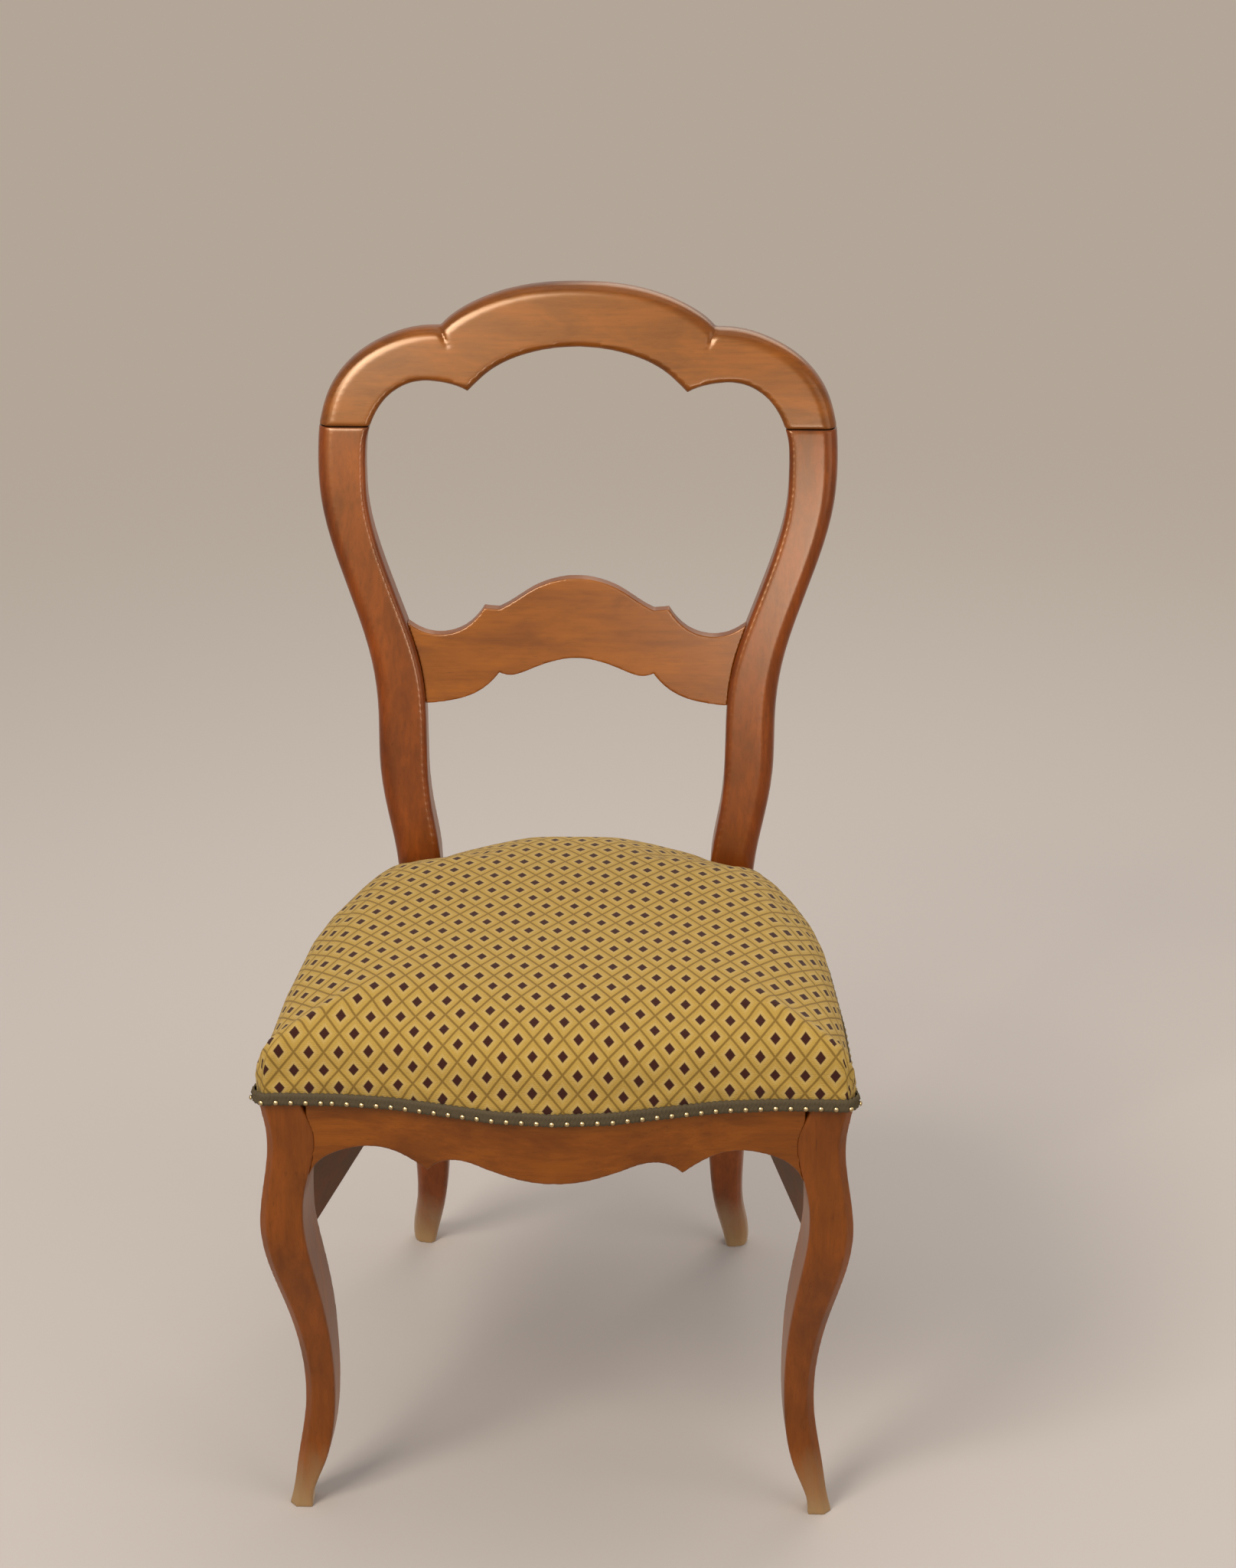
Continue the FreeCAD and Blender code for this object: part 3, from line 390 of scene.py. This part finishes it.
def diamond_chenille():
    """Ribbed chenille with a lattice of grooves and a dark dot in every diamond, on the cloth's own map."""
    settings = looks()
    material = new_material("diamond_chenille")
    place = add_node(material, "ShaderNodeUVMap", {"uv_map": "cloth"})
    parts = add_node(material, "ShaderNodeSeparateXYZ", None, {0: place.outputs[0]})
    across = add_node(material, "ShaderNodeMath", {"operation": "DIVIDE", 1: settings.dot_across},
                      {0: parts.outputs["X"]})
    up = add_node(material, "ShaderNodeMath", {"operation": "DIVIDE", 1: settings.dot_along},
                  {0: parts.outputs["Y"]})
    # Along the two slants of the lattice, dots stand at whole numbers and grooves at halves
    offsets = []
    for operation in ("ADD", "SUBTRACT"):
        slant = add_node(material, "ShaderNodeMath", {"operation": operation},
                         {0: across.outputs[0], 1: up.outputs[0]})
        shifted = add_node(material, "ShaderNodeMath", {"operation": "ADD", 1: 0.5}, {0: slant.outputs[0]})
        part = add_node(material, "ShaderNodeMath", {"operation": "FRACT"}, {0: shifted.outputs[0]})
        centred = add_node(material, "ShaderNodeMath", {"operation": "SUBTRACT", 1: 0.5},
                           {0: part.outputs[0]})
        offsets.append(add_node(material, "ShaderNodeMath", {"operation": "ABSOLUTE"},
                                {0: centred.outputs[0]}))
    edge = add_node(material, "ShaderNodeMath", {"operation": "MAXIMUM"},
                    {0: offsets[0].outputs[0], 1: offsets[1].outputs[0]})
    groove = add_node(material, "ShaderNodeMapRange",
                      {"From Min": 0.425, "From Max": 0.485, "interpolation_type": "SMOOTHSTEP"},
                      {"Value": edge.outputs[0]})
    dot = add_node(material, "ShaderNodeMapRange",
                   {"From Min": 0.205, "From Max": 0.155, "interpolation_type": "SMOOTHSTEP"},
                   {"Value": edge.outputs[0]})
    # Fluff of about 1 mm, and wear in patches of about 80 mm
    fluff = add_node(material, "ShaderNodeTexNoise", {"Scale": 900.0, "Detail": 3.0},
                     {"Vector": place.outputs[0]})
    wear = add_node(material, "ShaderNodeTexNoise", {"Scale": 12.0, "Detail": 2.0},
                    {"Vector": place.outputs[0]})
    rib_turn = add_node(material, "ShaderNodeMath", {"operation": "MULTIPLY", 1: 2 * math.pi / RIB_PITCH},
                        {0: parts.outputs["Y"]})
    rib = add_node(material, "ShaderNodeMath", {"operation": "SINE"}, {0: rib_turn.outputs[0]})
    halo = add_node(material, "ShaderNodeMapRange", {"From Min": 0.34, "From Max": 0.2, "To Max": 0.55},
                    {"Value": edge.outputs[0]})
    ground = add_node(material, "ShaderNodeMix",
                      {"data_type": "RGBA", 6: colour("#a98534"), 7: colour("#c7ab5d")},
                      {0: fluff.outputs[0]})
    faded = add_node(material, "ShaderNodeMix", {"data_type": "RGBA", 7: settings.cloth_gold},
                     {0: wear.outputs[0], 6: ground.outputs[2]})
    pale = add_node(material, "ShaderNodeMix", {"data_type": "RGBA", 7: colour("#ccb376")},
                    {0: halo.outputs[0], 6: faded.outputs[2]})
    grooved = add_node(material, "ShaderNodeMix", {"data_type": "RGBA", 7: colour("#876a2c")},
                       {0: groove.outputs[0], 6: pale.outputs[2]})
    dotted = add_node(material, "ShaderNodeMix", {"data_type": "RGBA", 7: settings.cloth_dot},
                      {0: dot.outputs[0], 6: grooved.outputs[2]})
    pile = add_node(material, "ShaderNodeMath", {"operation": "MULTIPLY_ADD", 1: 0.12},
                    {0: rib.outputs[0], 2: fluff.outputs[0]})
    height = add_node(material, "ShaderNodeMath", {"operation": "SUBTRACT"},
                      {0: pile.outputs[0], 1: groove.outputs[0]})
    relief = add_node(material, "ShaderNodeBump", {"Strength": 0.6, "Distance": 0.8 * MM},
                      {"Height": height.outputs[0]})
    return finish_material(material, {"Roughness": 0.9, "Specular IOR Level": 0.2, "Sheen Weight": 0.1},
                           {"Base Color": dotted.outputs[2], "Normal": relief.outputs[0]})


def puff(piece):
    """Lets the stuffing push the cloth out a little, held tight along its lower edge."""
    rest = [v.co.copy() for v in piece.data.vertices]
    held = piece.vertex_groups.new(name="held")
    for v in piece.data.vertices:
        if v.co.z < SEAT_LOW.z + HELD_TALL:
            held.add([v.index], 1.0, "REPLACE")
    select_only(piece)
    bpy.ops.object.modifier_add(type="CLOTH")
    cloth = piece.modifiers[-1]
    cloth.settings.use_pressure = True
    cloth.settings.uniform_pressure_force = PUFF_PRESSURE
    cloth.settings.effector_weights.gravity = 0.0
    cloth.settings.vertex_group_mass = "held"
    cloth.point_cache.frame_start = 1
    cloth.point_cache.frame_end = PUFF_FRAMES
    for number in range(1, PUFF_FRAMES + 1):
        bpy.context.scene.frame_set(number)
    bpy.ops.object.modifier_apply(modifier=cloth.name)
    bpy.context.scene.frame_set(1)
    limit = looks().swell
    for v, start in zip(piece.data.vertices, rest):
        move = v.co - start
        if move.length > limit:
            v.co = start + move.normalized() * limit


def drape_map(piece):
    """Map of the cloth in metres: straight over the top and carried on down the sides."""
    shoulder = SEAT_HIGH.z - SHOULDER_DROP
    layer = piece.data.uv_layers.new(name="cloth")
    start = looks().dot_start
    places = []
    for v in piece.data.vertices:
        drop = max(0.0, shoulder - v.co.z)
        turned = math.acos(max(0.0, 1.0 - drop / SHOULDER_ROUND))
        # Cloth used beyond the level distance: round the shoulder first, then straight down
        spare = SHOULDER_ROUND * (turned - math.sin(turned)) + max(0.0, drop - SHOULDER_ROUND)
        # A high power keeps the rows straight over the bow of the front, and turns them at the corners
        to_side, to_front = abs(v.normal.x) ** 5, abs(v.normal.y) ** 5
        share = spare / max(to_side + to_front, 0.00001)
        places.append((v.co.x + math.copysign(to_side, v.normal.x) * share - start[0],
                       v.co.y + math.copysign(to_front, v.normal.y) * share - start[1]))
    for loop in piece.data.loops:
        layer.data[loop.index].uv = places[loop.vertex_index]


class SeatCover(bpy.types.Operator):
    """Stuffed seat under its patterned cloth"""
    bl_idname = "chair.seat_cover"
    bl_label = "Seat cover"

    def execute(self, context):
        piece = copy_of("seat_cover", "seat_cover_cloth")
        middle = (SEAT_LOW + SEAT_HIGH) / 2
        inside = Vector((0.0, middle.y, SEAT_LOW.z + 1 * MM))
        # The cover's inner skin and its lower rim go, and a plain floor closes the outer skin
        delete_faces(piece, lambda f: (f.normal.dot(f.center - inside) < 0
                                       or f.center.z < SEAT_LOW.z + 0.2 * MM))
        bpy.ops.object.mode_set(mode="EDIT")
        bpy.ops.mesh.select_all(action="SELECT")
        bpy.ops.mesh.fill_holes(sides=0)
        bpy.ops.mesh.normals_make_consistent(inside=False)
        bpy.ops.object.mode_set(mode="OBJECT")
        piece.data.remesh_voxel_size = CLOTH_GRID
        bpy.ops.object.voxel_remesh()
        puff(piece)
        delete_faces(piece, lambda f: f.normal.z < -0.6 and f.center.z < SEAT_LOW.z + OPEN_TALL)
        apply_modifier(piece, "SMOOTH", factor=0.5, iterations=4)
        apply_modifier(piece, "SUBSURF", levels=1, render_levels=1)
        apply_modifier(piece, "SOLIDIFY", thickness=CLOTH_THICK, offset=-1.0)
        bpy.ops.object.shade_smooth()
        drape_map(piece)
        dress(piece, diamond_chenille(), "seat_fabric", "seat_cover", "stuffing_pad")
        return {"FINISHED"}


def nail_places():
    """Middle of every nail, in order round the seat."""
    nails = copy_of("trim_nails", "nails_apart")
    bpy.ops.mesh.separate(type="LOOSE")
    places = []
    for nail in list(bpy.context.selected_objects):
        corners = [v.co for v in nail.data.vertices]
        places.append(sum(corners, Vector()) / len(corners))
        bpy.data.objects.remove(nail)
    middle = (SEAT_LOW.y + SEAT_HIGH.y) / 2
    return sorted(places, key=lambda p: math.atan2(p.x, middle - p.y))


def trim_runs(places):
    """The nails' places parted where the back posts stand."""
    count = len(places)
    ends = [i for i in range(count) if (places[(i + 1) % count] - places[i]).length > 1.6 * NAIL_PITCH]
    runs = []
    for first, last in zip(ends, ends[1:] + [ends[0] + count]):
        runs.append([places[i % count] for i in range(first + 1, last + 1)])
    return runs


def smooth_path(points, step, overrun):
    """Evenly spaced points on a smooth curve through points, running straight on at both ends."""
    first = points[0] + (points[0] - points[1]).normalized() * overrun
    last = points[-1] + (points[-1] - points[-2]).normalized() * overrun
    points = [first] + points + [last]
    dense, pieces = [], 12
    for i in range(len(points) - 1):
        before, here, after, beyond = (points[min(max(i + k, 0), len(points) - 1)] for k in (-1, 0, 1, 2))
        for k in range(pieces):
            t = k / pieces
            dense.append(0.5 * (2 * here + (after - before) * t
                                + (2 * before - 5 * here + 4 * after - beyond) * t ** 2
                                + (3 * here - before - 3 * after + beyond) * t ** 3))
    even = [dense[0]]
    for point in dense[1:]:
        while (point - even[-1]).length > step:
            even.append(even[-1] + (point - even[-1]).normalized() * step)
    return even


def outward_at(path, i):
    """Level direction away from the seat at a point of the path."""
    along = path[min(i + 1, len(path) - 1)] - path[max(i - 1, 0)]
    across = Vector((along.y, -along.x, 0.0)).normalized()
    from_middle = path[i] - (SEAT_LOW + SEAT_HIGH) / 2
    return across if across.dot(from_middle) > 0 else -across


def gimp_strip(name, run):
    """One length of gimp: two twisted cords side by side, with a looped edge above and below."""
    path = smooth_path(run, GIMP_STEP, GIMP_OVERRUN)
    tall = BRAID_HIGH.z - BRAID_LOW.z
    bpy.ops.object.select_all(action="DESELECT")
    bpy.ops.mesh.primitive_grid_add(x_subdivisions=len(path) - 1, y_subdivisions=8, size=1.0)
    piece = bpy.context.object
    piece.name = name
    columns = len(path)
    for i, base in enumerate(path):
        run_so_far = i * GIMP_STEP
        outward = outward_at(path, i)
        edge = LOOP_TALL * abs(math.sin(math.pi * run_so_far / LOOP_PITCH))
        cord = TWIST_DEEP * math.sin(2 * math.pi * run_so_far / TWIST_PITCH)
        # Across the strip: looped edge, first cord, seam, second cord, looped edge
        heights = (-edge, -0.8 * edge, 0.12 * tall, 0.27 * tall, 0.5 * tall, 0.73 * tall, 0.88 * tall,
                   tall + 0.8 * edge, tall + edge)
        depths = (-1.6 * MM, 0.1 * MM, 0.5 * MM, 0.9 * MM + cord, 0.1 * MM, 0.9 * MM - cord, 0.5 * MM,
                  0.1 * MM, -1.6 * MM)
        for row, (up, out) in enumerate(zip(heights, depths)):
            spot = base + outward * (out - 0.8 * MM)
            piece.data.vertices[row * columns + i].co = (spot.x, spot.y, BRAID_LOW.z + up)
    bpy.ops.object.mode_set(mode="EDIT")
    bpy.ops.mesh.select_all(action="SELECT")
    bpy.ops.mesh.normals_make_consistent(inside=False)
    bpy.ops.object.mode_set(mode="OBJECT")
    seam_face = piece.data.polygons[4 * (columns - 1)]
    if seam_face.normal.dot(outward_at(path, 0)) < 0:
        piece.data.flip_normals()
    bpy.ops.object.shade_smooth()
    return piece


def nail_dome(radius, tall):
    """Round nail head standing on the level."""
    bpy.ops.object.select_all(action="DESELECT")
    bpy.ops.mesh.primitive_uv_sphere_add(segments=12, ring_count=8, radius=radius)
    dome = bpy.context.object
    bpy.ops.object.mode_set(mode="EDIT")
    bpy.ops.mesh.select_all(action="SELECT")
    bpy.ops.mesh.bisect(plane_co=(0.0, 0.0, 0.0), plane_no=(0.0, 0.0, 1.0), use_fill=True, clear_inner=True)
    bpy.ops.mesh.select_all(action="SELECT")
    bpy.ops.transform.resize(value=(1.0, 1.0, tall / radius))
    bpy.ops.object.mode_set(mode="OBJECT")
    bpy.ops.object.shade_smooth()
    return dome


class SeatTrim(bpy.types.Operator):
    """Gimp braid and round nails along the lower edge of the cloth"""
    bl_idname = "chair.seat_trim"
    bl_label = "Seat trim"

    def execute(self, context):
        runs = trim_runs(nail_places())
        braid = simple_finish("olive_gimp_cotton", "#54482a", 0.85, grit=700.0)
        strips = [gimp_strip("gimp_strip_%d" % (i + 1), run) for i, run in enumerate(runs)]
        for strip in strips:
            dress(strip, braid, "braid", "gimp_braid")
        dome = nail_dome(NAIL_RADIUS, NAIL_TALL)
        heads = []
        for run in runs:
            for i, place in enumerate(run):
                head = bpy.data.objects.new("nail_head", dome.data.copy())
                context.scene.collection.objects.link(head)
                outward = outward_at(run, i)
                turn = outward.to_track_quat("Z", "Y").to_matrix().to_4x4()
                head.data.transform(Matrix.Translation(place + outward * 0.1 * MM) @ turn)
                heads.append(head)
        bpy.data.objects.remove(dome)
        bpy.ops.object.select_all(action="DESELECT")
        for head in heads:
            head.select_set(True)
        context.view_layer.objects.active = heads[0]
        bpy.ops.object.join()
        nails = heads[0]
        nails.name = "nail_heads"
        brass = simple_finish("antique_brass", "#ead2a0", 0.28, metallic=1.0, grit=300.0)
        dress(nails, brass, "nail_brass", "trim_nails")
        return {"FINISHED"}


# Stage

def studio_paper():
    """Matt paper floor that polish and metal mirror at one even strength."""
    material = new_material("studio_paper")
    rays = add_node(material, "ShaderNodeLightPath")
    mirrored = add_node(material, "ShaderNodeMath", {"operation": "MAXIMUM"},
                        {0: rays.outputs["Is Glossy Ray"], 1: rays.outputs["Is Transmission Ray"]})
    glow = add_node(material, "ShaderNodeEmission", {"Color": colour("#b3a698"), "Strength": 1.0})
    paint = add_node(material, "ShaderNodeBsdfDiffuse", {"Color": colour("#cdc8c8")})
    # Far from the chair the paper fades into the sky
    place = add_node(material, "ShaderNodeTexCoord")
    reach = add_node(material, "ShaderNodeVectorMath", {"operation": "LENGTH"}, {0: place.outputs["Object"]})
    far = add_node(material, "ShaderNodeMapRange",
                   {"From Min": PAPER_NEAR, "From Max": PAPER_FAR, "interpolation_type": "SMOOTHSTEP"},
                   {"Value": reach.outputs["Value"]})
    glowing = add_node(material, "ShaderNodeMath", {"operation": "MAXIMUM"},
                       {0: mirrored.outputs[0], 1: far.outputs[0]})
    chosen = add_node(material, "ShaderNodeMixShader", None,
                      {0: glowing.outputs[0], 1: paint.outputs[0], 2: glow.outputs[0]})
    add_node(material, "ShaderNodeOutputMaterial", None, {"Surface": chosen.outputs[0]})
    return material


class Studio(bpy.types.Operator):
    """Pale floor, soft light and the camera"""
    bl_idname = "chair.studio"
    bl_label = "Studio"

    def execute(self, context):
        bpy.ops.object.select_all(action="DESELECT")
        bpy.ops.mesh.primitive_plane_add(size=FLOOR_SIZE, location=(0.0, 0.0, 0.0))
        floor = context.object
        floor.name = "studio_floor"
        floor.data.materials.append(studio_paper())
        self.light(context)
        self.camera(context)
        return {"FINISHED"}

    def light(self, context):
        """Soft lamps in warm light, two of them for the shine of the polish alone, and a dim even sky."""
        for name, place, size, power, shine_only in LAMPS:
            bpy.ops.object.light_add(type="AREA", location=place)
            lamp = context.object
            lamp.name = name
            lamp.data.size = size
            lamp.data.energy = power
            lamp.data.color = LAMP_TINT
            lamp.visible_diffuse = not shine_only
            lamp.rotation_euler = (LAMP_AIM - lamp.location).to_track_quat("-Z", "Y").to_euler()
        self.sky(context)

    def sky(self, context):
        """Sky that lights dimly and shows pale where it is seen."""
        world = bpy.data.worlds.new("studio_sky")
        world.use_nodes = True
        world.node_tree.nodes.clear()
        rays = add_node(world, "ShaderNodeLightPath")
        seen = add_node(world, "ShaderNodeMath", {"operation": "MAXIMUM"},
                        {0: rays.outputs["Is Camera Ray"], 1: rays.outputs["Is Transmission Ray"]})
        lit = add_node(world, "ShaderNodeBackground", {"Color": colour("#f2ede6"), "Strength": 0.55})
        pale = add_node(world, "ShaderNodeBackground", {"Color": colour("#b3a698"), "Strength": 1.0})
        chosen = add_node(world, "ShaderNodeMixShader", None,
                          {0: seen.outputs[0], 1: lit.outputs[0], 2: pale.outputs[0]})
        add_node(world, "ShaderNodeOutputWorld", None, {"Surface": chosen.outputs[0]})
        context.scene.world = world

    def camera(self, context):
        """Camera at the photograph's viewing angle."""
        heading = Vector((math.sin(CAMERA_YAW), math.cos(CAMERA_YAW), 0.0))
        forward = heading * math.cos(CAMERA_PITCH) - Vector((0.0, 0.0, math.sin(CAMERA_PITCH)))
        level = Vector((heading.y, -heading.x, 0.0))
        up = level.cross(forward)
        right = level * math.cos(CAMERA_ROLL) + up * math.sin(CAMERA_ROLL)
        above = up * math.cos(CAMERA_ROLL) - level * math.sin(CAMERA_ROLL)
        bpy.ops.object.camera_add(location=CAMERA_PLACE)
        camera = context.object
        turn = Matrix((right, above, -forward)).transposed()
        camera.rotation_euler = turn.to_euler()
        camera.data.lens = CAMERA_LENS
        camera.data.sensor_width = CAMERA_SENSOR
        context.scene.camera = camera
        context.scene.view_settings.view_transform = "Standard"


class ChairPanel(bpy.types.Panel):
    """Settings and building steps of the chair"""
    bl_idname = "VIEW3D_PT_chair"
    bl_label = "Chair"
    bl_space_type = "VIEW_3D"
    bl_region_type = "UI"
    bl_category = "Chair"

    def draw(self, context):
        column = self.layout.column()
        for name in ChairLooks.__annotations__:
            column.prop(context.scene.chair_looks, name)
        for operator in OPERATORS:
            column.operator(operator.bl_idname)


OPERATORS = (CarvedFrame, SeatUnderside, SeatCover, SeatTrim, Studio)
CLASSES = (ChairLooks,) + OPERATORS + (ChairPanel,)


def register():
    """Adds the chair's classes and settings to Blender."""
    for item in CLASSES:
        bpy.utils.register_class(item)
    bpy.types.Scene.chair_looks = bpy.props.PointerProperty(type=ChairLooks)


def unregister():
    """Takes the chair's classes and settings out of Blender."""
    del bpy.types.Scene.chair_looks
    for item in reversed(CLASSES):
        bpy.utils.unregister_class(item)


def main():
    """Builds everything in order."""
    register()
    bpy.ops.chair.carved_frame()
    bpy.ops.chair.seat_underside()
    bpy.ops.chair.seat_cover()
    bpy.ops.chair.seat_trim()
    bpy.ops.chair.studio()


if __name__ == "__main__":
    main()
